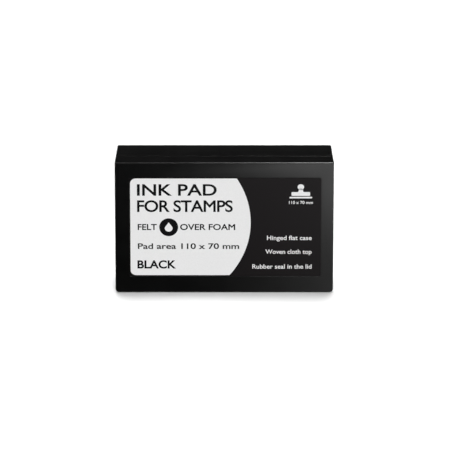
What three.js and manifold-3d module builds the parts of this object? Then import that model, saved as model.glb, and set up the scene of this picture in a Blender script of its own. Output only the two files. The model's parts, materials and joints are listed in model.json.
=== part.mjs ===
// Hinged ink pad: a moulded case in two halves joined by a living hinge, with a cloth-covered
// pad clamped in the base and a sealed liner in the lid.
//
// Frame: millimetres, +Z up. The closed case stands on its long front (latch) edge at z = 0,
// with the printed lid face towards -Y, the base's underside towards +Y and the hinge on top.
// The origin is the centre of the footprint.
import * as THREE from "three";
import { mergeVertices } from "three/addons/utils/BufferGeometryUtils.js";
import Module from "manifold-3d";

const wasm = await Module();
wasm.setup();

// Driving dimensions.
const WIDTH = 127; // along the hinge
const HEIGHT = 89; // from the front edge to the hinge side
const LID_DEPTH = 9; // lid face to seam
const BASE_DEPTH = 11.5; // seam to underside
const FOOT_PROUD = 0.8; // how far the rubber feet stand off the underside
const PAD_WIDTH = 110; // inking surface
const PAD_HEIGHT = 70;
const WALL = 1.8; // moulded wall
const BASE_WALL = 2.5; // the base's side walls, which carry the lip
const GAP = 0.3; // clearance between neighbouring pieces
const END_DRAFT = 1.5; // how far each end slopes in from the lid's face to the underside
const HINGE_DRAFT = 0.3; // how far the base's hinge side slopes in from the seam
const EDGE_ROUND = 0.7; // rounding where the faces meet the walls
const FRONT_CORNER = 2.4; // corner radii of the case's outline
const HINGE_CORNER = 0.9;
const INNER_CORNER = 1; // corner radius inside the shells, and of what lies against their walls
const EMBED = 0.2; // how far two joined blocks of one piece reach into each other
const BEYOND = 1; // how far a cutting block reaches past what it cuts
const CURVE_SEGMENTS = 6; // for a quarter turn
const BEVEL_SEGMENTS = 5;
const DISC_SIDES = 32;

// Places along Y.
const FACE = -(LID_DEPTH + BASE_DEPTH + FOOT_PROUD) / 2;
const SEAM = FACE + LID_DEPTH;
const UNDERSIDE = SEAM + BASE_DEPTH;
const LID_RIM = SEAM - GAP / 2;
const BASE_RIM = SEAM + GAP / 2;
const LID_CEILING = FACE + WALL; // inner side of the lid's face plate
const BASE_FLOOR = UNDERSIDE - WALL; // inner side of the base's floor

// Half sizes across X and Z, measured from the middle of the case.
const MIDDLE = HEIGHT / 2;
const CASE = { x: WIDTH / 2, z: HEIGHT / 2 };
const LID_ROOM = shrunk(CASE, WALL);
const BASE_ROOM = shrunk(CASE, BASE_WALL);
const PAD = { x: PAD_WIDTH / 2, z: PAD_HEIGHT / 2 };

// The lip stands on the base's rim and reaches past the seam into the lid. Its snap is a pair
// of low ribs on the front side, which pass each other as the lid closes.
const LIP = { clearance: 0.35, thick: 0.9, proud: 1.3, root: 2.5 };
const LIP_OUTER = shrunk(LID_ROOM, LIP.clearance);
const LIP_INNER = shrunk(LIP_OUTER, LIP.thick);
const SNAP = { half: 12, height: 0.25, thick: 0.35, root: 0.4 };
const LID_SNAP = { front: SEAM - 0.75, back: SEAM - 0.25, root: 0.5 };

// Label and its recess.
const LABEL = { x: 55.5, z: 33.5, middleX: 0.6, middleZ: 45, thick: 0.2, corner: 1, glue: 0.05 };
const RECESS = { margin: 0.3, depth: 0.3, corner: 1.3 };

// Hinge web, and the rebate that it lies in.
const WEB = { halfLength: 60.5, half: 0.6, thick: 0.3, proud: 0.25 };
const REBATE = { halfLength: 61, half: 1, depth: 0.75 };

// Thumb notch in the base's front wall.
const NOTCH = { half: 16, depth: 1.1, width: 4.5, sides: 240 };

// Pad: the layers' faces along Y, from the tray's underside up to the cloth.
const TRAY = { wall: 1.2, roomMargin: 0.7, back: BASE_FLOOR - GAP, flangeBack: 1.2, flangeFront: 0 };
const FOAM = { front: 1.45, back: TRAY.back - TRAY.wall - GAP };
const FELT = { front: -3, back: FOAM.front - GAP };
const CLOTH = { thick: 0.6, brimWidth: 2.6, brimThick: 0.5, brimBack: TRAY.flangeFront - GAP };
CLOTH.front = FELT.front - GAP - CLOTH.thick;
const FRAME = { front: -2.5, back: CLOTH.brimBack - CLOTH.brimThick - GAP, skirt: 2 };
const PAD_CORNER = { tray: 2.5, room: 2, foam: 1.8, cloth: 2.4, brim: 3, frame: 3 };

// Lid liner, its posts and the seal.
const SEAL = { inner: 1.4, width: 1.8, front: -4.1, back: FRAME.front - GAP, corner: 2.5 };
const LINER = { front: -6.6, back: -5.4, rimInset: 0.3 };
const POST = { x: 48, z: 28, radius: 1.6, headRadius: 2.7, headThick: 0.5 };

// Feet, and the shallow panel between them on the underside.
const FOOT = { x: 52, z: 33, radius: 4, round: 0.4, seatDepth: 0.8, seatGap: 0.1 };
const PANEL = { x: 43, z: 29, depth: 0.4, corner: 4 };

const moulded = new THREE.MeshStandardMaterial({ color: 0x161616, roughness: 0.42 });
const looks = {
  case: moulded,
  frame: new THREE.MeshStandardMaterial({ color: 0x1c1c1d, roughness: 0.3 }),
  liner: new THREE.MeshStandardMaterial({ color: 0x2b2b2c, roughness: 0.5 }),
  tray: new THREE.MeshStandardMaterial({ color: 0xd6d4cc, roughness: 0.5 }),
  foam: new THREE.MeshStandardMaterial({ color: 0x23222a, roughness: 0.95 }),
  felt: new THREE.MeshStandardMaterial({ color: 0x1a1a20, roughness: 1 }),
  cloth: new THREE.MeshStandardMaterial({ color: 0x0f0f14, roughness: 0.8 }),
  rubber: new THREE.MeshStandardMaterial({ color: 0x222222, roughness: 0.85 }),
  label: new THREE.MeshStandardMaterial({ color: 0xe2e2e2, roughness: 0.35 }),
};

function shrunk(half, by) {
  return { x: half.x - by, z: half.z - by };
}

// ---- Geometry helpers ----

// Rounded rectangle in X and Z: half sizes, corner radii at the front and hinge sides.
function outline(half, lowCorner, highCorner = lowCorner, middleX = 0, middleZ = MIDDLE) {
  const shape = new THREE.Shape();
  const corners = [
    [1, -1, lowCorner, -Math.PI / 2],
    [1, 1, highCorner, 0],
    [-1, 1, highCorner, Math.PI / 2],
    [-1, -1, lowCorner, Math.PI],
  ];
  for (const [right, up, radius, start] of corners) {
    const x = middleX + right * (half.x - radius);
    const z = middleZ + up * (half.z - radius);
    shape.absarc(x, z, radius, start, start + Math.PI / 2);
  }
  shape.closePath();
  return shape;
}

// A shape drawn in X and Z, made solid from y = front to y = back.
function slab(shape, front, back, options = {}) {
  const geometry = new THREE.ExtrudeGeometry(shape, {
    depth: back - front,
    bevelEnabled: false,
    curveSegments: CURVE_SEGMENTS,
    ...options,
  });
  return geometry.rotateX(Math.PI / 2).translate(0, back, 0);
}

function block(x0, x1, y0, y1, z0, z1) {
  const size = [x1 - x0, y1 - y0, z1 - z0];
  const middle = [(x0 + x1) / 2, (y0 + y1) / 2, (z0 + z1) / 2];
  return solid(new THREE.BoxGeometry(...size).translate(...middle));
}

// Round post or hole along Y.
function disc(x, z, radius, front, back) {
  const geometry = new THREE.CylinderGeometry(radius, radius, back - front, DISC_SIDES);
  return solid(geometry.translate(x, (front + back) / 2, z));
}

function solid(geometry) {
  const bare = geometry.clone();
  bare.deleteAttribute("normal");
  bare.deleteAttribute("uv");
  const merged = mergeVertices(bare, 1e-4);
  return new wasm.Manifold(
    new wasm.Mesh({
      numProp: 3,
      vertProperties: merged.attributes.position.array,
      triVerts: new Uint32Array(merged.index.array),
    }),
  );
}

function pieceFrom(name, body, material) {
  const { vertProperties, triVerts } = body.getMesh();
  const geometry = new THREE.BufferGeometry();
  geometry.setAttribute("position", new THREE.BufferAttribute(vertProperties, 3));
  geometry.setIndex(new THREE.BufferAttribute(triVerts, 1));
  geometry.computeVertexNormals();
  const mesh = new THREE.Mesh(geometry, material);
  mesh.name = name;
  return mesh;
}

function plate(half, corner, front, back) {
  return solid(slab(outline(half, corner), front, back));
}

function ring(outer, inner, corner, front, back) {
  const hole = plate(inner, Math.max(corner - 0.5, 0.5), front - BEYOND, back + BEYOND);
  return plate(outer, corner, front, back).subtract(hole);
}

// Half of the case as a solid block, rounded at both faces: the caller trims the seam side off.
function caseBlock(front, back) {
  const shape = outline(CASE, FRONT_CORNER, HINGE_CORNER);
  return slab(shape, front + EDGE_ROUND, back - EDGE_ROUND, {
    bevelEnabled: true,
    bevelThickness: EDGE_ROUND,
    bevelSize: EDGE_ROUND,
    bevelOffset: -EDGE_ROUND,
    bevelSegments: BEVEL_SEGMENTS,
  });
}

// The ends slope in all the way from the lid's face, and the hinge side from the seam.
function drafted(geometry) {
  const place = geometry.getAttribute("position");
  for (let i = 0; i < place.count; i++) {
    const pastFace = (place.getY(i) - FACE) / (UNDERSIDE - FACE);
    const pastSeam = Math.max(0, (place.getY(i) - SEAM) / BASE_DEPTH);
    place.setX(i, place.getX(i) * (1 - (pastFace * END_DRAFT) / CASE.x));
    place.setZ(i, place.getZ(i) * (1 - (pastSeam * HINGE_DRAFT) / HEIGHT));
  }
  return geometry;
}

// A block wider than the case, for trimming it from y = front to y = back.
function trim(front, back) {
  return block(-WIDTH, WIDTH, front, back, -HEIGHT, 2 * HEIGHT);
}

function hingeRebate() {
  const { halfLength, half, depth } = REBATE;
  const top = HEIGHT + BEYOND;
  return block(-halfLength, halfLength, SEAM - half, SEAM + half, HEIGHT - depth, top);
}

function fourPlaces(x, z) {
  return [
    [-x, MIDDLE - z],
    [x, MIDDLE - z],
    [-x, MIDDLE + z],
    [x, MIDDLE + z],
  ];
}

// ---- Case ----

function lidShell() {
  let body = solid(drafted(caseBlock(FACE, UNDERSIDE))).subtract(trim(LID_RIM, HEIGHT));
  body = body.subtract(plate(LID_ROOM, INNER_CORNER, LID_CEILING, SEAM + BEYOND));
  const panel = shrunk(LABEL, -RECESS.margin);
  const recess = outline(panel, RECESS.corner, RECESS.corner, LABEL.middleX, LABEL.middleZ);
  body = body.subtract(solid(slab(recess, FACE - BEYOND, FACE + RECESS.depth)));
  body = body.subtract(hingeRebate());
  for (const [x, z] of fourPlaces(POST.x, POST.z)) {
    const headFront = LINER.back + GAP;
    body = body.add(disc(x, z, POST.radius, LID_CEILING - EMBED, headFront + EMBED));
    body = body.add(disc(x, z, POST.headRadius, headFront, headFront + POST.headThick));
  }
  const { front, back, root } = LID_SNAP;
  return body.add(block(-SNAP.half, SNAP.half, front, back, WALL - root, WALL + SNAP.height));
}

// A shallow scallop across the base's front wall, for the thumb that lifts the lid.
function thumbNotch() {
  const { half, depth, width, sides } = NOTCH;
  const radius = (half * half + depth * depth) / (2 * depth);
  const geometry = new THREE.CylinderGeometry(radius, radius, width + BEYOND, sides);
  return solid(geometry.translate(0, SEAM + (width - BEYOND) / 2, depth - radius));
}

function baseShell() {
  let body = solid(drafted(caseBlock(SEAM - LIP.proud, UNDERSIDE))).subtract(trim(FACE, BASE_RIM));
  body = body.subtract(plate(BASE_ROOM, INNER_CORNER, SEAM - BEYOND, BASE_FLOOR));
  const lipFront = SEAM - LIP.proud;
  body = body.add(ring(LIP_OUTER, LIP_INNER, INNER_CORNER, lipFront, SEAM + LIP.root));
  const { half, height, thick, root } = SNAP;
  const lipFace = MIDDLE - LIP_OUTER.z;
  body = body.add(block(-half, half, lipFront, lipFront + thick, lipFace - height, lipFace + root));
  body = body.subtract(hingeRebate()).subtract(thumbNotch());
  const below = UNDERSIDE + BEYOND;
  body = body.subtract(plate(PANEL, PANEL.corner, UNDERSIDE - PANEL.depth, below));
  for (const [x, z] of fourPlaces(FOOT.x, FOOT.z))
    body = body.subtract(disc(x, z, FOOT.radius + GAP, UNDERSIDE - FOOT.seatDepth, below));
  return body;
}

function hingeWeb() {
  const { halfLength, half, thick, proud } = WEB;
  const top = HEIGHT + proud;
  return block(-halfLength, halfLength, SEAM - half, SEAM + half, top - thick, top);
}

function faceLabel() {
  const back = FACE + RECESS.depth - LABEL.glue;
  const shape = outline(LABEL, LABEL.corner, LABEL.corner, LABEL.middleX, LABEL.middleZ);
  return solid(slab(shape, back - LABEL.thick, back));
}

function foot(x, z) {
  const front = UNDERSIDE - FOOT.seatDepth + FOOT.seatGap;
  const dome = UNDERSIDE + FOOT_PROUD;
  const profile = [
    new THREE.Vector2(0, front),
    new THREE.Vector2(FOOT.radius, front),
    new THREE.Vector2(FOOT.radius, dome - FOOT.round),
    new THREE.Vector2(FOOT.radius - FOOT.round, dome),
    new THREE.Vector2(0, dome),
  ];
  return solid(new THREE.LatheGeometry(profile, DISC_SIDES).translate(x, 0, z));
}

// ---- Lid liner ----

function sealHalf(grow) {
  return { x: PAD.x + SEAL.inner + grow, z: PAD.z + SEAL.inner + grow };
}

function lidLiner() {
  const outer = sealHalf(SEAL.width);
  const rimBack = SEAL.front - GAP;
  const rimInner = sealHalf(LINER.rimInset);
  let body = plate(outer, SEAL.corner, LINER.front, LINER.back);
  body = body.add(ring(outer, rimInner, SEAL.corner, LINER.back - EMBED, rimBack));
  for (const [x, z] of fourPlaces(POST.x, POST.z))
    body = body.subtract(disc(x, z, POST.radius + GAP, LINER.front - BEYOND, LINER.back + BEYOND));
  return body;
}

function lidSeal() {
  return ring(sealHalf(SEAL.width), sealHalf(0), SEAL.corner, SEAL.front, SEAL.back);
}

// ---- Pad ----

const TRAY_ROOM = shrunk(PAD, -TRAY.roomMargin);
const FLANGE = shrunk(LIP_INNER, GAP);

function padTray() {
  const { wall, back, flangeBack, flangeFront } = TRAY;
  let body = plate(shrunk(TRAY_ROOM, -wall), PAD_CORNER.tray, flangeFront, back);
  body = body.add(plate(FLANGE, INNER_CORNER, flangeFront, flangeBack));
  return body.subtract(plate(TRAY_ROOM, PAD_CORNER.room, flangeFront - BEYOND, back - wall));
}

function foamCore() {
  return plate(shrunk(TRAY_ROOM, GAP), PAD_CORNER.foam, FOAM.front, FOAM.back);
}

function feltLayer() {
  const half = shrunk(PAD, GAP + CLOTH.thick + GAP);
  return plate(half, PAD_CORNER.foam, FELT.front, FELT.back);
}

// The cloth is drawn over the felt like a cap, and its brim lies between tray and frame.
function inkCloth() {
  const { thick, brimWidth, brimThick, brimBack, front } = CLOTH;
  const outer = shrunk(PAD, GAP);
  const cap = plate(outer, PAD_CORNER.cloth, front, brimBack);
  const brim = plate(shrunk(PAD, -brimWidth), PAD_CORNER.brim, brimBack - brimThick, brimBack);
  const inside = plate(shrunk(outer, thick), PAD_CORNER.room, front + thick, brimBack + BEYOND);
  return cap.add(brim).subtract(inside);
}

function padFrame() {
  const face = ring(FLANGE, PAD, PAD_CORNER.frame, FRAME.front, FRAME.back);
  const inner = shrunk(FLANGE, FRAME.skirt);
  const skirt = ring(FLANGE, inner, INNER_CORNER, FRAME.back - EMBED, TRAY.flangeFront - GAP);
  return face.add(skirt);
}

// ---- Assembly ----

const inkPad = new THREE.Group();
inkPad.name = "ink_pad";

const base = new THREE.Group();
base.add(pieceFrom("base_shell", baseShell(), looks.case));
base.add(pieceFrom("hinge_web", hingeWeb(), looks.case));
base.add(pieceFrom("pad_tray", padTray(), looks.tray));
base.add(pieceFrom("foam_core", foamCore(), looks.foam));
base.add(pieceFrom("felt_layer", feltLayer(), looks.felt));
base.add(pieceFrom("ink_cloth", inkCloth(), looks.cloth));
base.add(pieceFrom("pad_frame", padFrame(), looks.frame));
const footNames = ["foot_front_left", "foot_front_right", "foot_rear_left", "foot_rear_right"];
fourPlaces(FOOT.x, FOOT.z).forEach(([x, z], i) => {
  base.add(pieceFrom(footNames[i], foot(x, z), looks.rubber));
});

const lid = new THREE.Group();
lid.add(pieceFrom("lid_shell", lidShell(), looks.case));
lid.add(pieceFrom("lid_liner", lidLiner(), looks.liner));
lid.add(pieceFrom("lid_seal", lidSeal(), looks.rubber));
lid.add(pieceFrom("face_label", faceLabel(), looks.label));

inkPad.add(base, lid);

export default inkPad;
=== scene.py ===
"""A hinged ink pad, closed and standing on its front edge: the looks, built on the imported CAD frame.

Sizes and places in this script are in millimetres, in the CAD frame: the lid's printed face looks
towards -Y, the base's underside towards +Y, and the hinge is on top. MM turns them into metres.
"""
import json
import math

import bmesh
import bpy
from mathutils import Matrix, Vector, noise


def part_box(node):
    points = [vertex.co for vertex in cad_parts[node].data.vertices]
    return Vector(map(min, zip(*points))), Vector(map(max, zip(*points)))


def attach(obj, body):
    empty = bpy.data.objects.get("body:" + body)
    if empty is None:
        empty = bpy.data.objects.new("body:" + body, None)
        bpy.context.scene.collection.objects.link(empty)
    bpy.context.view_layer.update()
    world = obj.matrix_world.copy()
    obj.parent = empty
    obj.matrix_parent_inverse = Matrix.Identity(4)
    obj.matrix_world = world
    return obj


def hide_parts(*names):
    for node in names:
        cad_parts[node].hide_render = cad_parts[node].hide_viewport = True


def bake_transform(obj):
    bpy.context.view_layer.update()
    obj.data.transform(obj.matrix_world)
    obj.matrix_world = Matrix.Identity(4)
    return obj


MM = 0.001
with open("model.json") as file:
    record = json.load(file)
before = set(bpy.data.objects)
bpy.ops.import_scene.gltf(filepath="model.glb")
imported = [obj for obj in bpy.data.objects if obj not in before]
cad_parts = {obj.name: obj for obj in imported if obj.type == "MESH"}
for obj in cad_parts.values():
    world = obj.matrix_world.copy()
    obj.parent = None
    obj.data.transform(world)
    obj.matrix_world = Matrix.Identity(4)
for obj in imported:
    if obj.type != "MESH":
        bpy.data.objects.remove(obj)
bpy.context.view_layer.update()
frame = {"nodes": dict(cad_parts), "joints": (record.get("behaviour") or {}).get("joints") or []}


def span(node):
    """Lowest and highest corner of a CAD node, in millimetres."""
    low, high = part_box(node)
    return low / MM, high / MM


LID_LOW, LID_HIGH = span("lid_shell")
FILM_LOW, FILM_HIGH = span("face_label")
FACE = LID_LOW.y  # the lid's printed side
SEAM = frame["joints"][0]["pos_m"][1] / MM  # the hinge line, where lid and base meet
UNDERSIDE = span("base_shell")[1].y
TOP = LID_HIGH.z  # the hinge side
MIDDLE = TOP / 2
REBATE_END = 61  # half the length of the slot for the hinge


# ---- Materials ----


class Shading:
    """A node material, with short calls for the nodes that work on values."""

    def __init__(self, name):
        self.material = bpy.data.materials.new(name)
        self.material.use_nodes = True
        self.nodes = self.material.node_tree.nodes
        self.links = self.material.node_tree.links

    def maths(self, operation, first, second):
        """One arithmetic step on two values, each a number or another node's output."""
        node = self.nodes.new("ShaderNodeMath")
        node.operation = operation
        for socket, value in zip(node.inputs, (first, second)):
            if isinstance(value, (int, float)):
                socket.default_value = value
            else:
                self.links.new(value, socket)
        return node.outputs["Value"]

    def ramp(self, value, start, end, low, high):
        """Goes from low to high as value goes from start to end."""
        node = self.nodes.new("ShaderNodeMapRange")
        settings = {"From Min": start, "From Max": end, "To Min": low, "To Max": high}
        for socket, number in settings.items():
            node.inputs[socket].default_value = number
        self.links.new(value, node.inputs["Value"])
        return node.outputs["Result"]


class Finish(Shading):
    """A Principled material, with short calls for the texture nodes that vary it."""

    def __init__(self, name, colour, roughness, **sockets):
        super().__init__(name)
        self.shader = self.nodes["Principled BSDF"]
        self.set("Base Color", (*colour, 1))
        self.set("Roughness", roughness)
        for socket, value in sockets.items():
            self.set(socket.replace("_", " "), value)
        self.place = self.nodes.new("ShaderNodeTexCoord").outputs["Object"]
        self.normal = None

    def set(self, socket, value):
        """Gives a socket of the shader a value that is the same all over the surface."""
        self.shader.inputs[socket].default_value = value

    def noise(self, size, detail=2.0, roughness=0.5, stretch=(1, 1, 1)):
        """Noise whose blotches are about size millimetres, stretched along the axes."""
        mapping = self.nodes.new("ShaderNodeMapping")
        mapping.inputs["Scale"].default_value = [1 / (size * MM * s) for s in stretch]
        self.links.new(self.place, mapping.inputs["Vector"])
        texture = self.nodes.new("ShaderNodeTexNoise")
        texture.inputs["Scale"].default_value = 1
        texture.inputs["Detail"].default_value = detail
        texture.inputs["Roughness"].default_value = roughness
        self.links.new(mapping.outputs["Vector"], texture.inputs["Vector"])
        return texture.outputs["Fac"]

    def cells(self, size):
        """Distance to the nearest of points that are about size millimetres apart."""
        texture = self.nodes.new("ShaderNodeTexVoronoi")
        texture.inputs["Scale"].default_value = 1 / (size * MM)
        self.links.new(self.place, texture.inputs["Vector"])
        return texture.outputs["Distance"]

    def threads(self, axis, pitch):
        """Bands across an axis, one to each pitch millimetres, that wander a little."""
        texture = self.nodes.new("ShaderNodeTexWave")
        texture.bands_direction = axis
        texture.inputs["Scale"].default_value = math.pi / (10 * pitch * MM)
        texture.inputs["Distortion"].default_value = 1.5
        texture.inputs["Detail"].default_value = 2
        texture.inputs["Detail Scale"].default_value = 0.6
        self.links.new(self.place, texture.inputs["Vector"])
        return texture.outputs["Fac"]

    def vary(self, socket, factor, low, high, start=0.35, end=0.65):
        """The socket goes from low to high as factor goes from start to end."""
        self.links.new(self.ramp(factor, start, end, low, high), self.shader.inputs[socket])

    def tint(self, factor, dark, light, start=0.35, end=0.65):
        """The base colour goes from dark to light as factor goes from start to end."""
        ramp = self.nodes.new("ShaderNodeValToRGB")
        ramp.color_ramp.elements[0].position = start
        ramp.color_ramp.elements[0].color = (*dark, 1)
        ramp.color_ramp.elements[1].position = end
        ramp.color_ramp.elements[1].color = (*light, 1)
        self.links.new(factor, ramp.inputs["Fac"])
        self.links.new(ramp.outputs["Color"], self.shader.inputs["Base Color"])

    def bump(self, height, depth):
        """Adds relief, depth millimetres deep, on top of the relief so far."""
        node = self.nodes.new("ShaderNodeBump")
        node.inputs["Distance"].default_value = depth * MM
        node.inputs["Strength"].default_value = 1
        self.links.new(height, node.inputs["Height"])
        if self.normal:
            self.links.new(self.normal, node.inputs["Normal"])
        self.normal = node.outputs["Normal"]
        self.links.new(self.normal, self.shader.inputs["Normal"])


def moulded_plastic(name, dark, light, roughness, grain=0.25, relief=0.012):
    """Moulded plastic with a spark-eroded texture: fine grain over a faint cloudiness."""
    made = Finish(name, light, roughness)
    made.tint(made.noise(9, detail=3), dark, light)
    made.vary("Roughness", made.noise(14, detail=3), roughness - 0.015, roughness + 0.02)
    made.bump(made.noise(grain, detail=3, roughness=0.6), relief)
    return made.material


def rubber(name, level):
    """Matt rubber with a fine tooth, a little cloudy; level is how light it is."""
    made = Finish(name, (level,) * 3, 0.62, Specular_IOR_Level=0.35)
    made.tint(made.noise(2.5, detail=4), (level * 0.8,) * 3, (level * 1.25,) * 3)
    made.vary("Roughness", made.noise(1.2, detail=3), 0.55, 0.75)
    made.bump(made.noise(0.18, detail=3, roughness=0.7), 0.02)
    return made.material


def foam_material():
    """Open-cell foam, soaked dark."""
    made = Finish("foam", (0.012, 0.011, 0.016), 0.95, Sheen_Weight=0.2)
    cells = made.cells(0.55)
    # Painted shade: the base colour is darker in the middle of each pore, where the bump sinks it, and
    # lighter towards the cell walls.
    made.tint(cells, (0.004, 0.004, 0.006), (0.02, 0.019, 0.026), 0.1, 0.6)
    made.bump(cells, 0.25)
    made.bump(made.noise(4, detail=2), 0.15)
    return made.material


def felt_material():
    """Pressed felt: short crossing fibres and a soft sheen."""
    made = Finish("felt", (0.01, 0.01, 0.014), 1.0, Sheen_Weight=0.35, Sheen_Roughness=0.6)
    fibres = made.noise(0.12, detail=3, stretch=(9, 1, 1))
    crossing = made.noise(0.12, detail=3, stretch=(1, 1, 9))
    made.tint(made.noise(3, detail=5), (0.006, 0.006, 0.009), (0.016, 0.016, 0.021))
    made.bump(made.maths("MAXIMUM", fibres, crossing), 0.12)
    return made.material


def inked_cloth():
    """Plain-woven cloth, black with ink: shiny where it is wettest."""
    pitch = 0.46  # from one thread to the next
    made = Finish("inked_cloth", (0.006, 0.006, 0.009), 0.5, Sheen_Weight=0.15)
    warp, weft = made.threads("X", pitch), made.threads("Z", pitch)
    weave = made.maths("MAXIMUM", warp, weft)
    weave_shade = made.maths("MULTIPLY", warp, weft)
    damp = made.noise(16, detail=3)
    # Painted shade: the base colour is darker between the threads, in the weave's hollows, and lighter
    # where warp and weft cross.
    made.tint(weave_shade, (0.004, 0.004, 0.0065), (0.013, 0.013, 0.018), 0.0, 0.9)
    made.vary("Roughness", damp, 0.32, 0.66)
    made.bump(weave, 0.09)
    made.bump(made.noise(0.1, detail=2), 0.02)
    return made.material


def printed(name, colour, roughness, specular):
    """Ink on laminated film: even, with the faintest mottle."""
    made = Finish(name, colour, roughness, Specular_IOR_Level=specular)
    darker = [c * 0.96 for c in colour]
    made.tint(made.noise(0.6, detail=4), darker, colour)
    made.bump(made.noise(6, detail=2), 0.006)
    return made.material


case_plastic = moulded_plastic("case_plastic", (0.0024,) * 3, (0.0034,) * 3, 0.3, relief=0.008)
hinge_plastic = moulded_plastic("hinge_plastic", (0.0024,) * 3, (0.0036,) * 3, 0.3, relief=0.002)
frame_plastic = moulded_plastic("frame_plastic", (0.004,) * 3, (0.006,) * 3, 0.24, relief=0.005)
liner_plastic = moulded_plastic("liner_plastic", (0.011,) * 3, (0.015,) * 3, 0.42, grain=0.35)
tray_plastic = moulded_plastic("tray_plastic", (0.6, 0.59, 0.55), (0.68, 0.67, 0.63), 0.45)
seal_rubber = rubber("seal_rubber", 0.012)
foot_rubber = rubber("foot_rubber", 0.016)
film_black = printed("film_black", (0.0092, 0.0079, 0.0084), 0.55, 0.12)
film_white = printed("film_white", (0.85, 0.85, 0.85), 0.5, 0.2)
print_black = printed("print_black", (0.004, 0.004, 0.0045), 0.5, 0.15)


# ---- Mesh helpers ----


def finished(name, bm, material, body, sharp=35):
    """A bmesh in millimetres becomes a smooth-shaded piece that rides on a body."""
    bmesh.ops.recalc_face_normals(bm, faces=bm.faces)
    bmesh.ops.scale(bm, vec=(MM, MM, MM), verts=bm.verts)
    mesh = bpy.data.meshes.new(name)
    bm.to_mesh(mesh)
    bm.free()
    mesh.polygons.foreach_set("use_smooth", [True] * len(mesh.polygons))
    mesh.set_sharp_from_angle(angle=math.radians(sharp))
    mesh.materials.append(material)
    made = bpy.data.objects.new(name, mesh)
    bpy.context.scene.collection.objects.link(made)
    if body:
        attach(made, body)
    return made


def rounded(half_x, half_z, corner, middle=(0, MIDDLE), steps=8):
    """Points (x, z) round a rectangle with round corners, anticlockwise from the lower right."""
    points = []
    for turn, (right, up) in enumerate(((1, -1), (1, 1), (-1, 1), (-1, -1))):
        for step in range(steps + 1):
            angle = math.radians(90 * (turn - 1 + step / steps))
            x = middle[0] + right * (half_x - corner) + corner * math.cos(angle)
            z = middle[1] + up * (half_z - corner) + corner * math.sin(angle)
            points.append((x, z))
    return points


def loft(bm, rings, around=False):
    """Joins rings of points with faces, and caps both ends or, with around, joins last to first."""
    rows = [[bm.verts.new(point) for point in ring] for ring in rings]
    pairs = list(zip(rows, rows[1:]))
    if around:
        pairs.append((rows[-1], rows[0]))
    for one, other in pairs:
        for i in range(len(one)):
            j = (i + 1) % len(one)
            bm.faces.new((one[i], one[j], other[j], other[i]))
    if not around:
        bm.faces.new(rows[0])
        bm.faces.new(rows[-1])


CLOSED = 0.01  # the radius at which a turned profile starts and ends, so that its end cap is tiny


def lathe(bm, profile, x, z, sides=64):
    """Turns a profile of (radius, y) about a line along Y, and caps both its ends."""
    rings = [
        [
            (x + r * math.cos(a), y, z + r * math.sin(a))
            for a in (2 * math.pi * i / sides for i in range(sides))
        ]
        for r, y in profile
    ]
    loft(bm, rings)


def arc(centre_x, centre_y, radius, start, end, steps):
    """Points (x, y) along an arc, with angles in degrees from the x axis."""
    angles = [math.radians(start + (end - start) * i / steps) for i in range(steps + 1)]
    return [(centre_x + radius * math.cos(a), centre_y + radius * math.sin(a)) for a in angles]


# ---- CAD nodes that stay: case, tray, frame and liner ----


def dress(node, material, width=0.13):
    """Gives a CAD node its material and softens its edges without touching its mesh."""
    shell = frame["nodes"][node]
    shell.data.materials.clear()
    shell.data.materials.append(material)
    custom = shell.data.attributes.get("custom_normal")
    if custom:
        shell.data.attributes.remove(custom)
    shell.data.polygons.foreach_set("use_smooth", [True] * len(shell.data.polygons))
    weld = shell.modifiers.new("join_corners", "WELD")
    weld.merge_threshold = 0.0005 * MM
    flats = shell.modifiers.new("whole_faces", "DECIMATE")
    flats.decimate_type = "DISSOLVE"
    flats.angle_limit = math.radians(0.6)
    edges = shell.modifiers.new("soft_edges", "BEVEL")
    edges.width = width * MM
    edges.segments = 2
    edges.limit_method = "ANGLE"
    edges.angle_limit = math.radians(32)
    edges.use_clamp_overlap = False
    edges.harden_normals = True


dress("lid_shell", case_plastic, width=0.06)
dress("base_shell", case_plastic)
dress("pad_frame", frame_plastic, width=0.2)
dress("pad_tray", tray_plastic)
dress("lid_liner", liner_plastic, width=0.1)
dress("face_label", film_black, width=0.04)


# ---- Living hinge ----

STRIP_INSIDE = TOP - 0.3  # the strip's lower side
STRIP_TOP = TOP + 0.05
FLANGE = 1.75  # half the strip's width
GROOVE = 0.9  # half the width of the flexible middle


def strip_section():
    """Outline (y, z) of the strip about the seam: over the top, and back underneath."""
    shoulder, groove_depth, undercut = 0.05, 0.04, 0.16
    crest = [(-FLANGE, STRIP_INSIDE)]
    crest += arc(-FLANGE + shoulder, STRIP_TOP - shoulder, shoulder, 180, 90, steps=6)
    for i in range(1, 12):
        dip = 0.5 - 0.5 * math.cos(2 * math.pi * i / 12)
        crest.append((-GROOVE + GROOVE * i / 12, STRIP_TOP - groove_depth * dip))
    far_side = [(-y, z) for y, z in reversed(crest)]
    under = []
    for i in range(9):
        lift = undercut * math.sin(math.pi * i / 8)
        under.append((GROOVE - 2 * GROOVE * i / 8, STRIP_INSIDE + lift))
    return crest + [(0, STRIP_TOP)] + far_side + under


def hinge_strip():
    """The thin strip that joins the halves: a flange on each shell and a grooved, flexible middle."""
    half = REBATE_END + 0.5
    round_end = 0.25
    # Places along the strip, and how much lower and narrower it is there.
    left_end = arc(-half + round_end, round_end, round_end, 180, 270, steps=4)
    middle = [(-half * (1 - 2 * i / 24), 0) for i in range(1, 24)]
    right_end = [(-x, less) for x, less in reversed(left_end)]
    rings = []
    for x, less in left_end + middle + right_end:
        ring = []
        for y, z in strip_section():
            on_top = z > STRIP_INSIDE + 0.2
            ring.append((x, SEAM + y * (1 - less / FLANGE), z - less if on_top else z))
        rings.append(ring)
    bm = bmesh.new()
    loft(bm, rings)
    strip = finished("hinge_strip", bm, hinge_plastic, None)
    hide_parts("hinge_web")
    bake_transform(strip)


hinge_strip()


# ---- Label print ----

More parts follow.
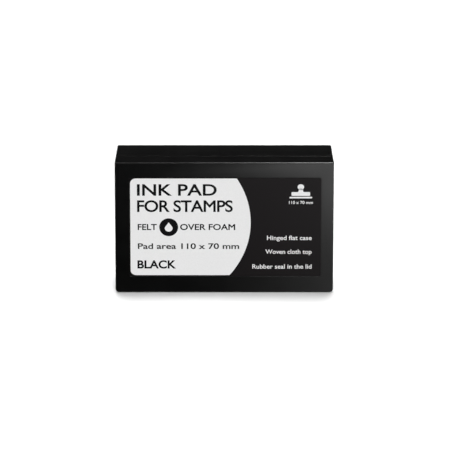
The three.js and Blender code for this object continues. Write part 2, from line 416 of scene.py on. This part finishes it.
PRINT = 0.02  # thickness of a layer of ink
FIELD_FRONT = FILM_LOW.y - PRINT  # the printed face of the pale field
LABEL_LEFT = FILM_LOW.x
LIGHT_EDGE = FILM_HIGH.x - 5.3  # where the lines of light print end
BADGE_X, BADGE_Z = -32.3, 45


def arc_through(first, middle, last, steps=40):
    """Points on the circle through three points, from the first to the last."""
    a, b, c = Vector(first), Vector(middle), Vector(last)
    d = 2 * (a.x * (b.y - c.y) + b.x * (c.y - a.y) + c.x * (a.y - b.y))
    squares = [p.length_squared for p in (a, b, c)]
    x = (squares[0] * (b.y - c.y) + squares[1] * (c.y - a.y) + squares[2] * (a.y - b.y)) / d
    y = (squares[0] * (c.x - b.x) + squares[1] * (a.x - c.x) + squares[2] * (b.x - a.x)) / d
    centre = Vector((x, y))
    start = math.atan2(a.y - y, a.x - x)
    turn = math.atan2(c.y - y, c.x - x) - start
    radius = (a - centre).length
    angles = [start + turn * i / steps for i in range(steps + 1)]
    return [(x + radius * math.cos(t), y + radius * math.sin(t)) for t in angles]


def printed_shape(bm, outline, front):
    """A flat printed shape: outline in (x, z), PRINT thick, its back sunk into what it is on."""
    back = front + 1.5 * PRINT
    loft(bm, [[(x, y, z) for x, z in outline] for y in (front, back)])


def lettering(bm, words, x0, x1, z0, cap, front, weight, spacing=1.0):
    """Words from x0 to x1 on the base line z0, with capitals cap high and strokes weight bolder."""
    builtin_cap = 0.686  # of the built-in font at size 1
    curve = bpy.data.curves.new("lettering", "FONT")
    curve.body = words
    curve.size = cap / builtin_cap
    curve.bevel_depth = weight
    curve.space_character = spacing
    curve.resolution_u = 5
    writer = bpy.data.objects.new("lettering", curve)
    bpy.context.scene.collection.objects.link(writer)
    bpy.context.view_layer.update()
    mesh = bpy.data.meshes.new_from_object(writer.evaluated_get(bpy.context.evaluated_depsgraph_get()))
    bpy.data.objects.remove(writer)
    wide = [v.co.x for v in mesh.vertices]
    stretch = (x1 - x0) / (max(wide) - min(wide))
    mesh.transform(Matrix.Translation((-min(wide), 0, 0)))
    mesh.transform(Matrix.Diagonal((stretch, 1, PRINT / 2 / weight, 1)))
    mesh.transform(Matrix.Rotation(math.pi / 2, 4, "X"))
    mesh.transform(Matrix.Translation((x0, front + PRINT / 2, z0)))
    bm.from_mesh(mesh)
    bpy.data.meshes.remove(mesh)


def drop_outline(x, z, size, steps=24):
    """An ink drop, point up: a circle that narrows to a tip."""
    points = []
    for i in range(steps):
        angle = 2 * math.pi * i / steps
        pull = 0.75 * max(0.0, math.cos(angle)) ** 3
        across = math.sin(angle) * (1 - pull)
        points.append((x + size * across, z + size * (math.cos(angle) + pull)))
    return points


def label_field():
    """The pale field: round corners on the left, and a bulging arc on the right."""
    bm = bmesh.new()
    corner = 3.4
    x, low, high = LABEL_LEFT + 0.3, FILM_LOW.z + 0.6, FILM_HIGH.z - 0.3
    outline = []
    for centre_z, start in ((high - corner, 90), (low + corner, 180)):
        outline += arc(x + corner, centre_z, corner, start, start + 90, steps=10)
    bulge = (LABEL_LEFT + 70.2, 48.4)
    outline += arc_through((LABEL_LEFT + 57.9, low), bulge, (LABEL_LEFT + 62.1, high))
    printed_shape(bm, outline, FIELD_FRONT)
    finished("label_field", bm, film_white, "lid")


def label_dark_print():
    """The dark words and the badge on the pale field."""
    bm = bmesh.new()
    front = FIELD_FRONT - PRINT
    margin = LABEL_LEFT + 4.3
    lettering(bm, "INK PAD", margin, margin + 46.2, 66.7, 7.5, front, weight=0.19)
    lettering(bm, "FOR STAMPS", margin, margin + 55.5, 55.6, 7.6, front, weight=0.19, spacing=0.94)
    lettering(bm, "FELT", margin + 0.3, margin + 11.4, 43.2, 3.9, front, weight=0.12)
    lettering(bm, "OVER FOAM", margin + 24.9, margin + 56.9, 43.2, 3.9, front, weight=0.12)
    round_badge = arc(0, 0, 6.1, 0, 352.5, steps=47)
    printed_shape(bm, [(BADGE_X + 0.9 * x, BADGE_Z + z) for x, z in round_badge], front)
    lettering(bm, "Pad area 110 x 70 mm", margin + 0.3, margin + 59.2, 30.2, 3.7, front, weight=0.1)
    lettering(bm, "BLACK", margin, margin + 22.5, 16.9, 5.2, front, weight=0.22)
    finished("label_dark_print", bm, print_black, "lid")


def label_light_print():
    """The drop on the badge, and the light words and symbol on the dark side of the label."""
    bm = bmesh.new()
    printed_shape(bm, drop_outline(BADGE_X, BADGE_Z - 0.7, 2.3), FIELD_FRONT - 2 * PRINT)
    front, edge = FIELD_FRONT, LIGHT_EDGE
    lettering(bm, "Hinged flat case", edge - 26.0, edge, 36.3, 2.9, front, weight=0.055)
    lettering(bm, "Woven cloth top", edge - 26.9, edge, 26.8, 2.9, front, weight=0.055)
    lettering(bm, "Rubber seal in the lid", edge - 34.5, edge, 16.6, 2.9, front, weight=0.055)
    lettering(bm, "110 x 70 mm", edge - 13.3, edge + 0.5, 60.9, 2.0, front, weight=0.04)
    stamp_symbol(bm, edge - 6.5, 64.7, front)
    finished("label_light_print", bm, film_white, "lid")


def stamp_symbol(bm, x, z, front):
    """A hand stamp seen from the side: knob, neck, block and the line that it prints."""
    printed_shape(bm, rounded(6.6, 0.55, 0.5, (x, z + 0.55)), front)
    printed_shape(bm, rounded(5.4, 1.3, 0.6, (x, z + 3.0)), front)
    neck = [(x - 1.6, z + 4.3), (x + 1.6, z + 4.3), (x + 0.8, z + 6.6), (x - 0.8, z + 6.6)]
    printed_shape(bm, neck, front)
    printed_shape(bm, arc(x, z + 7.7, 1.9, 0, 345, steps=23), front)


label_field()
label_dark_print()
label_light_print()


# ---- Rubber: seal and feet ----


def seal_ring():
    """A ring of D section that meets the pad frame with its round side."""
    low, high = span("lid_seal")
    width, chamfer, inner_corner = 1.8, 0.12, 0.9
    inner_x, inner_z = high.x - width, (high.z - low.z) / 2 - width
    back, half = low.y, width / 2
    straight = high.y - half
    section = [(chamfer, back), (width - chamfer, back), (width, back + chamfer)]
    section += arc(half, straight, half, 0, 180, steps=12)
    section += [(0, back + chamfer)]
    bm = bmesh.new()
    rings = []
    for out, y in section:
        outline = rounded(inner_x + out, inner_z + out, inner_corner + out)
        rings.append([(x, y, z) for x, z in outline])
    loft(bm, rings, around=True)
    seal = finished("seal_ring", bm, seal_rubber, "lid", sharp=50)
    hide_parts("lid_seal")


def rubber_foot(node):
    """A moulded foot: flat in its seat, rounded shoulder, and a shallow dish in its face."""
    low, high = span(node)
    x, z = (low.x + high.x) / 2, (low.z + high.z) / 2
    radius = (high.x - low.x) / 2
    shoulder, chamfer, dish = 0.55, 0.1, 0.12
    profile = [(CLOSED, low.y), (radius - chamfer, low.y), (radius, low.y + chamfer)]
    profile += arc(radius - shoulder, high.y - shoulder, shoulder, 0, 90, steps=6)
    profile += [(radius * 0.62, high.y), (radius * 0.5, high.y - dish / 2), (CLOSED, high.y - dish)]
    bm = bmesh.new()
    lathe(bm, profile, x, z)
    foot = finished(node + "_pad", bm, foot_rubber, "base", sharp=50)
    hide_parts(node)


seal_ring()
for place in ("front_left", "front_right", "rear_left", "rear_right"):
    rubber_foot("foot_" + place)


# ---- Soft layers of the pad ----

SIM = 10  # the cloth simulation runs on a piece this many times too large, where it is stable
SIM_FRAMES = 20  # how long it runs
CLOTH_BEND = 0.9  # radius at which the cloth turns down over the edge, and out under the frame
DIMPLE_SPACING = 6  # between the shallow dimples of the felt and the foam


def pad_block(name, node, material, corner, edge, crown, dimples):
    """A cut block of felt or foam: rounded edges, a slight crown and an uneven surface."""
    low, high = span(node)
    half_x, half_z = high.x, (high.z - low.z) / 2
    loops, reach = 9, half_z * 0.94  # loops of faces on a flat side, and how far in they go
    inwards = [edge + reach * i / loops for i in range(loops, 0, -1)]
    rounding = arc(edge, edge, edge, 270, 180, steps=3)
    profile = [(inset, low.y) for inset in inwards]
    profile += [(inset, low.y + lift) for inset, lift in rounding]
    profile += [(inset, high.y - lift) for inset, lift in reversed(rounding)]
    profile += [(inset, high.y) for inset in reversed(inwards)]
    rings = []
    for inset, y in profile:
        ring = []
        for x, z in rounded(half_x - inset, half_z - inset, max(0.2, corner - inset * 0.1)):
            dome = max(0.0, 1 - (x / half_x) ** 2) * max(0.0, 1 - ((z - MIDDLE) / half_z) ** 2)
            rise = crown * dome if y < (low.y + high.y) / 2 else 0
            uneven = dimples * noise.noise(Vector((x, y, z)) / DIMPLE_SPACING)
            ring.append((x, y - rise + uneven, z))
        rings.append(ring)
    bm = bmesh.new()
    loft(bm, rings)
    block = finished(name, bm, material, "base", sharp=60)
    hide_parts(node)


def cloth_profile(out, drop):
    """How far a point goes outwards and down after out millimetres over the edge of the felt."""
    radius = CLOTH_BEND
    quarter_turn = radius * math.pi / 2
    if out <= 0:
        return out, 0
    if out < quarter_turn:
        angle = out / radius
        return radius * math.sin(angle), radius * (1 - math.cos(angle))
    fall = drop - 2 * radius
    if out < quarter_turn + fall:
        return radius, radius + out - quarter_turn
    if out < 2 * quarter_turn + fall:
        angle = (out - quarter_turn - fall) / radius
        return radius + radius * (1 - math.cos(angle)), radius + fall + radius * math.sin(angle)
    return 2 * radius + out - 2 * quarter_turn - fall, drop


def run_cloth(sheet_piece, pinned, pressure, most):
    """Inflates the sheet a little with a cloth simulation; no point moves further than most."""
    before = [v.co.copy() for v in sheet_piece.data.vertices]
    group = sheet_piece.vertex_groups.new(name="clamped")
    group.add(pinned, 1.0, "REPLACE")
    cloth = sheet_piece.modifiers.new("cloth", "CLOTH")
    cloth.settings.quality = 6
    cloth.settings.mass = 0.2
    cloth.settings.tension_stiffness = 20
    cloth.settings.compression_stiffness = 20
    cloth.settings.bending_stiffness = 0.4
    cloth.settings.vertex_group_mass = "clamped"
    cloth.settings.use_pressure = True
    cloth.settings.uniform_pressure_force = pressure
    cloth.settings.effector_weights.gravity = 0
    for number in range(1, SIM_FRAMES + 1):
        bpy.context.scene.frame_set(number)
    evaluated = sheet_piece.evaluated_get(bpy.context.evaluated_depsgraph_get())
    after = [v.co.copy() for v in evaluated.data.vertices]
    sheet_piece.modifiers.remove(cloth)
    sheet_piece.vertex_groups.clear()
    for vertex, start, end in zip(sheet_piece.data.vertices, before, after):
        move = end - start
        if move.length > most:
            move *= most / move.length
        vertex.co = start + move
    bpy.context.scene.frame_set(1)


def cloth_place(u, v, half, corner, reach, drop):
    """Where the point (u, v) of the flat cloth comes to lie: x, depth, z, and how far out it was."""
    near = Vector([max(corner - h, min(h - corner, w)) for h, w in zip(half, (u, v))])
    away = Vector((u, v)) - near
    out = away.length - corner
    if away.length < 1e-6:
        return u, 0, v, out
    along, down = cloth_profile(min(out, reach), drop)
    x, z = near + away.normalized() * (corner + along)
    return x, down, z, out


def ink_cloth():
    """The cloth: drawn over the felt's edges, with its brim clamped between tray and frame."""
    low, high = span("ink_cloth")
    felt_low, felt_high = span("felt_layer")
    half_thick, corner, brim, cell = 0.3, 2.4, 2.2, 0.8
    surface, clamp = low.y + half_thick, high.y - half_thick
    drop = clamp - surface
    outside = half_thick * 2 - CLOTH_BEND  # from the felt's edge to where the cloth starts to bend
    half = (felt_high.x + outside, (felt_high.z - felt_low.z) / 2 + outside)
    reach = CLOTH_BEND * (math.pi - 2) + drop + brim
    cut = [h + reach for h in half]
    columns, rows = [round(2 * c / cell) for c in cut]
    bm = bmesh.new()
    grid, clamped = [], []
    for j in range(rows + 1):
        line = []
        for i in range(columns + 1):
            u, v = cut[0] * (2 * i / columns - 1), cut[1] * (2 * j / rows - 1)
            x, down, z, out = cloth_place(u, v, half, corner, reach, drop)
            if out > reach * 0.72:  # well inside the brim
                clamped.append(len(grid) * (columns + 1) + i)
            line.append(bm.verts.new((x, surface + down, MIDDLE + z)))
        grid.append(line)
    for one, other in zip(grid, grid[1:]):
        for i in range(columns):
            bm.faces.new((one[i], one[i + 1], other[i + 1], other[i]))
    cloth = finished("cloth_cover", bm, inked_cloth(), None, sharp=180)
    cloth.data.transform(Matrix.Scale(SIM, 4))
    run_cloth(cloth, clamped, pressure=-3.0, most=0.35 * SIM * MM)
    cloth.data.transform(Matrix.Scale(1 / SIM, 4))
    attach(cloth, "base")
    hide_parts("ink_cloth")


felt, foam = felt_material(), foam_material()
pad_block("felt_block", "felt_layer", felt, corner=1.8, edge=0.5, crown=0.15, dimples=0.05)
pad_block("foam_block", "foam_core", foam, corner=1.8, edge=0.4, crown=0.1, dimples=0.08)
ink_cloth()


# ---- Moulding marks on the underside ----


def moulding_marks():
    """What the mould leaves in the recessed panel: gate, ejector pins and a dial with twelve ticks."""
    floor = UNDERSIDE - 0.4
    sunk = floor - 0.05
    bm = bmesh.new()
    gate = [(1.3, sunk), (1.25, floor + 0.12), (0.8, floor + 0.27), (CLOSED, floor + 0.3)]
    lathe(bm, gate, 0, MIDDLE)
    pin = [(2.6, sunk), (2.6, floor + 0.04), (2.45, floor + 0.07), (CLOSED, floor + 0.07)]
    for x in (-33, 33):
        for z in (-20, 20):
            lathe(bm, pin, x, MIDDLE + z)
    dial_x, dial_z, dial = 24, MIDDLE - 8, 5
    rim = [(dial, sunk), (dial, floor + 0.1), (dial - 0.2, floor + 0.14)]
    rim += [(dial - 0.4, floor + 0.1), (dial - 0.4, sunk)]
    lathe(bm, rim, dial_x, dial_z)
    for hour in range(12):
        tick(bm, dial_x, dial_z, start=3.4, end=4.2, half=0.16, angle=30 * hour, sunk=sunk)
    tick(bm, dial_x, dial_z, start=-1.6, end=1.6, half=0.2, angle=60, sunk=sunk)
    finished("moulding_marks", bm, case_plastic, "base", sharp=40)


def tick(bm, x, z, start, end, half, angle, sunk):
    """A short raised bar that points away from (x, z), with its angle in degrees."""
    out = Vector((math.cos(math.radians(angle)), math.sin(math.radians(angle))))
    side = Vector((-out.y, out.x)) * half
    corners = (out * start - side, out * end - side, out * end + side, out * start + side)
    loft(bm, [[(x + c.x, y, z + c.y) for c in corners] for y in (sunk, sunk + 0.15)])


moulding_marks()


# ---- Stage, lights and camera ----


class Glow(Shading):
    """A light card's material. Its x and y run across the card, in millimetres from its middle."""

    def __init__(self, name, strength):
        super().__init__(name)
        self.nodes.clear()
        shader = self.nodes.new("ShaderNodeEmission")
        output = self.nodes.new("ShaderNodeOutputMaterial")
        self.links.new(shader.outputs["Emission"], output.inputs["Surface"])
        axes = self.nodes.new("ShaderNodeSeparateXYZ")
        place = self.nodes.new("ShaderNodeTexCoord").outputs["Object"]
        self.links.new(place, axes.inputs["Vector"])
        self.x, self.y = axes.outputs["X"], axes.outputs["Y"]
        self.links.new(strength(self), shader.inputs["Strength"])


def light_card(name, centre, size, facing, strength):
    """A flat card that only reflections see; strength makes its brightness from a Glow."""
    bm = bmesh.new()
    corners = ((-1, -1), (1, -1), (1, 1), (-1, 1))
    bm.faces.new([bm.verts.new((size[0] / 2 * a, size[1] / 2 * b, 0)) for a, b in corners])
    mesh = bpy.data.meshes.new(name)
    bm.to_mesh(mesh)
    bm.free()
    mesh.materials.append(Glow(name, strength).material)
    card = bpy.data.objects.new(name, mesh)
    bpy.context.scene.collection.objects.link(card)
    normal = Vector(facing).normalized()
    across = Vector((1, 0, 0))
    turn = Matrix((across, normal.cross(across), normal)).transposed().to_4x4()
    card.matrix_world = Matrix.Translation(Vector(centre) * MM) @ turn @ Matrix.Scale(MM, 4)
    card.visible_camera = False
    card.visible_diffuse = False
    card.visible_transmission = False
    card.visible_shadow = False


def floor_glow(card):
    """The pale floor as the face reflects it: dim on the left and close by, bright beyond."""
    across = card.maths("POWER", card.ramp(card.x, -70, 60, 0.0, 1.0), 3.2)
    away = card.maths("POWER", card.ramp(card.y, 195, 65, 0.0, 1.0), 2.3)
    depth = card.maths("ADD", card.maths("MULTIPLY", away, 0.75), 0.25)
    return card.maths("MULTIPLY", card.maths("MULTIPLY", across, depth), 1.85)


def overhead_glow(card):
    """A softbox above the front right, which fades out towards its left edge."""
    return card.ramp(card.x, -97, 10, 0.0, 32.0)


def behind_glow(card):
    """The floor behind the case, brighter further back."""
    return card.ramp(card.y, -200, -60, 0.15, 1.1)


def beside_glow(card):
    """The floor on the case's right, brighter further out."""
    return card.ramp(card.x, -200, -80, 0.3, 1.4)


def paper_floor():
    """A pale floor without an edge in sight, which takes shadows and gives no light back."""
    bm = bmesh.new()
    bmesh.ops.create_grid(bm, x_segments=1, y_segments=1, size=30000)
    bmesh.ops.scale(bm, vec=(MM, MM, MM), verts=bm.verts)
    mesh = bpy.data.meshes.new("floor")
    bm.to_mesh(mesh)
    bm.free()
    floor = bpy.data.objects.new("floor", mesh)
    bpy.context.scene.collection.objects.link(floor)
    paper = Finish("floor_paper", (0.8, 0.8, 0.8), 0.9, Specular_IOR_Level=0.0)
    mesh.materials.append(paper.material)
    floor.visible_glossy = False
    floor.visible_diffuse = False


def light_cards():
    """Three cards just above the floor for what the case reflects of it, and a softbox overhead."""
    up = (0, 0, 1)
    light_card("floor_card", (0, -205, 1), (700, 400), up, floor_glow)
    light_card("overhead_card", (120, -226, 425), (280, 260), (0, 0.54, -0.84), overhead_glow)
    light_card("behind_card", (0, 211, 1), (1400, 400), up, behind_glow)
    light_card("right_card", (264, 345, 1.5), (400, 710), up, beside_glow)


def sun(name, azimuth, elevation, angle, strength):
    """A distant soft light. From azimuth 0 it shines along +Y, and from 90 along -X."""
    light = bpy.data.lights.new(name, "SUN")
    light.energy = strength
    light.angle = math.radians(angle)
    lamp = bpy.data.objects.new(name, light)
    a, e = math.radians(azimuth), math.radians(elevation)
    source = Vector((math.sin(a) * math.cos(e), -math.cos(a) * math.cos(e), math.sin(e)))
    lamp.rotation_euler = source.to_track_quat("Z", "Y").to_euler()
    lamp.visible_glossy = False
    bpy.context.scene.collection.objects.link(lamp)


def surroundings():
    """White where the camera looks past the floor, dim otherwise, and shaped for reflections."""
    backdrop, ambient = 1.2, 0.04  # strengths
    world = bpy.data.worlds.new("studio")
    bpy.context.scene.world = world
    world.use_nodes = True
    nodes, links = world.node_tree.nodes, world.node_tree.links
    background = nodes["Background"]
    background.inputs["Color"].default_value = (1, 1, 1, 1)
    path = nodes.new("ShaderNodeLightPath")
    axes = nodes.new("ShaderNodeSeparateXYZ")
    links.new(nodes.new("ShaderNodeTexCoord").outputs["Generated"], axes.inputs["Vector"])
    height = nodes.new("ShaderNodeMapRange")
    height.inputs["From Min"].default_value = -1
    links.new(axes.outputs["Z"], height.inputs["Value"])
    ramp = nodes.new("ShaderNodeValToRGB")
    # From straight down (0) over the horizon (0.5) to straight up (1), and how bright it is there.
    stops = ((0.0, 0.45), (0.42, 0.5), (0.5, 0.3), (0.56, 0.1), (0.63, 0.02), (0.9, 0.01), (1.0, 0.02))
    ramp.color_ramp.elements.remove(ramp.color_ramp.elements[1])
    for i, (place, level) in enumerate(stops):
        stop = ramp.color_ramp.elements[0] if i == 0 else ramp.color_ramp.elements.new(place)
        stop.color = (level, level, level, 1)
    links.new(height.outputs["Result"], ramp.inputs["Fac"])
    reflected = nodes.new("ShaderNodeMix")
    reflected.data_type = "FLOAT"
    links.new(path.outputs["Is Glossy Ray"], reflected.inputs["Factor"])
    reflected.inputs["A"].default_value = ambient
    links.new(ramp.outputs["Color"], reflected.inputs["B"])
    seen = nodes.new("ShaderNodeMix")
    seen.data_type = "FLOAT"
    links.new(path.outputs["Is Camera Ray"], seen.inputs["Factor"])
    links.new(reflected.outputs["Result"], seen.inputs["A"])
    seen.inputs["B"].default_value = backdrop
    links.new(seen.outputs["Result"], background.inputs["Strength"])


def camera():
    """A long lens that looks down on the printed face."""
    elevation = math.radians(31.9)
    lens, sensor, width = 600, 36, 261.3  # width: how much of the face's plane the picture holds
    aim = Vector((0.39, FACE, 46.55))
    back = Vector((0, -math.cos(elevation), math.sin(elevation)))
    data = bpy.data.cameras.new("camera")
    data.lens = lens
    data.sensor_width = sensor
    data.clip_end = 100
    viewer = bpy.data.objects.new("camera", data)
    viewer.location = (aim + back * width * lens / sensor) * MM
    viewer.rotation_euler = back.to_track_quat("Z", "Y").to_euler()
    bpy.context.scene.collection.objects.link(viewer)
    bpy.context.scene.camera = viewer


paper_floor()
light_cards()
sun("light_from_above", azimuth=180, elevation=84, angle=15, strength=4.1)
sun("light_from_front", azimuth=12, elevation=24.6, angle=40, strength=3.2)
surroundings()
camera()
bpy.context.scene.view_settings.view_transform = "Standard"
